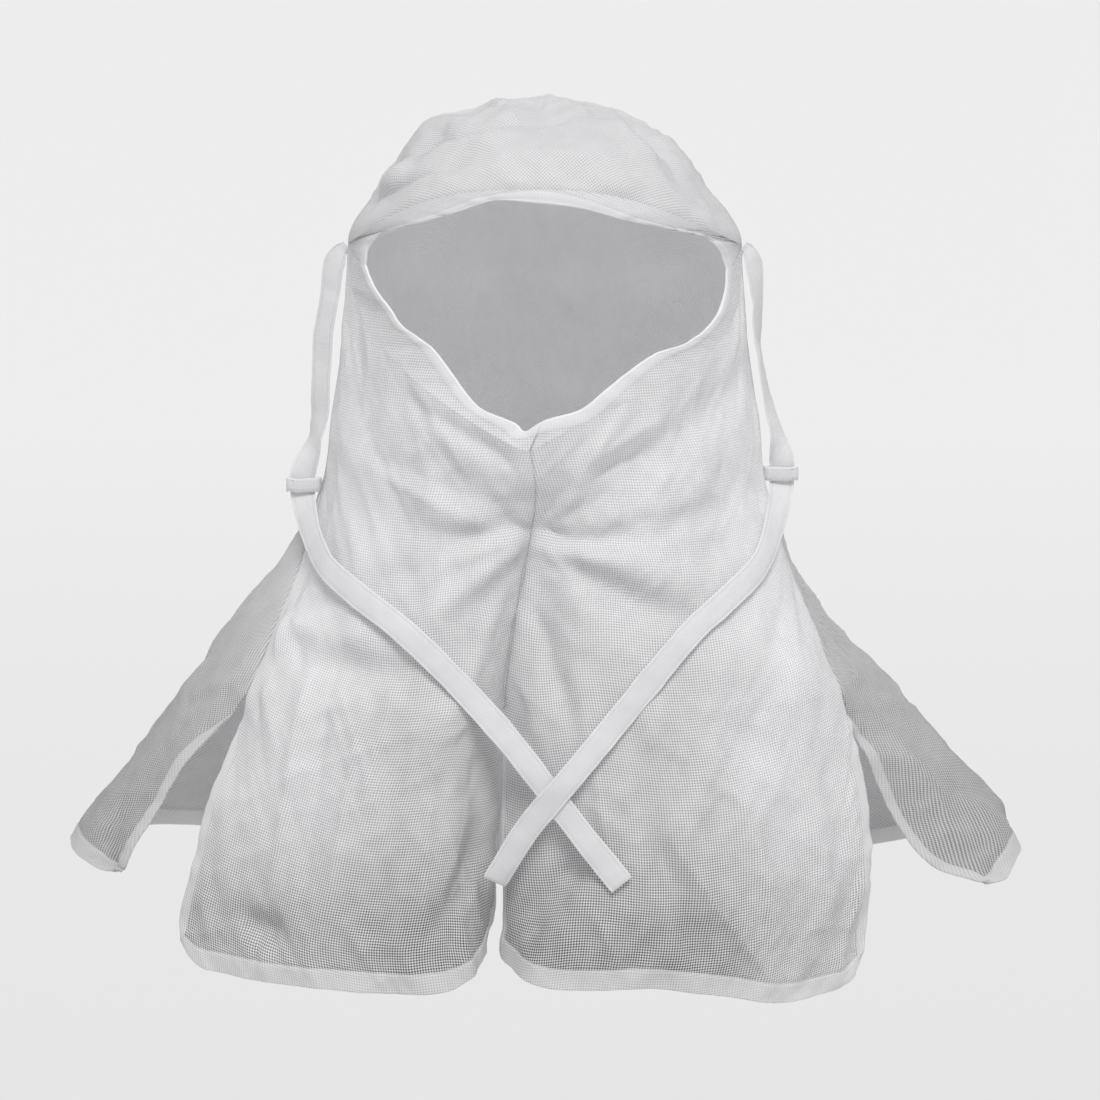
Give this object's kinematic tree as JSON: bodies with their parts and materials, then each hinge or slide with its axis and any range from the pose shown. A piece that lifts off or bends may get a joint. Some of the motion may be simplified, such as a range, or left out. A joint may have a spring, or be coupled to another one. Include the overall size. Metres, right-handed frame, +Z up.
{
  "type": "cleanroom hood",
  "caption": "Open-face cleanroom hood of thin embossed cloth with a shoulder cape, long front flaps and flat ties crossing on the chest.",
  "frame": {"origin": "top of the head space, at the middle of the crown's cloth", "axes": "+Z up, -Y the way the face looks, +X the wearer's left"},
  "size_m": [0.5527, 0.2617, 0.4947],
  "materials": {
    "cloth": "matte embossed nonwoven",
    "hem_cloth": "matte embossed nonwoven, folded double",
    "tie_cloth": "matte embossed nonwoven, folded and stitched"
  },
  "bodies": {
    "root": {"crown_back": "cloth", "face_hem": "hem_cloth", "front_left": "cloth", "front_right": "cloth", "loop_left": "tie_cloth", "loop_right": "tie_cloth", "tie_left": "tie_cloth", "tie_right": "tie_cloth"}
  },
  "joints": []
}
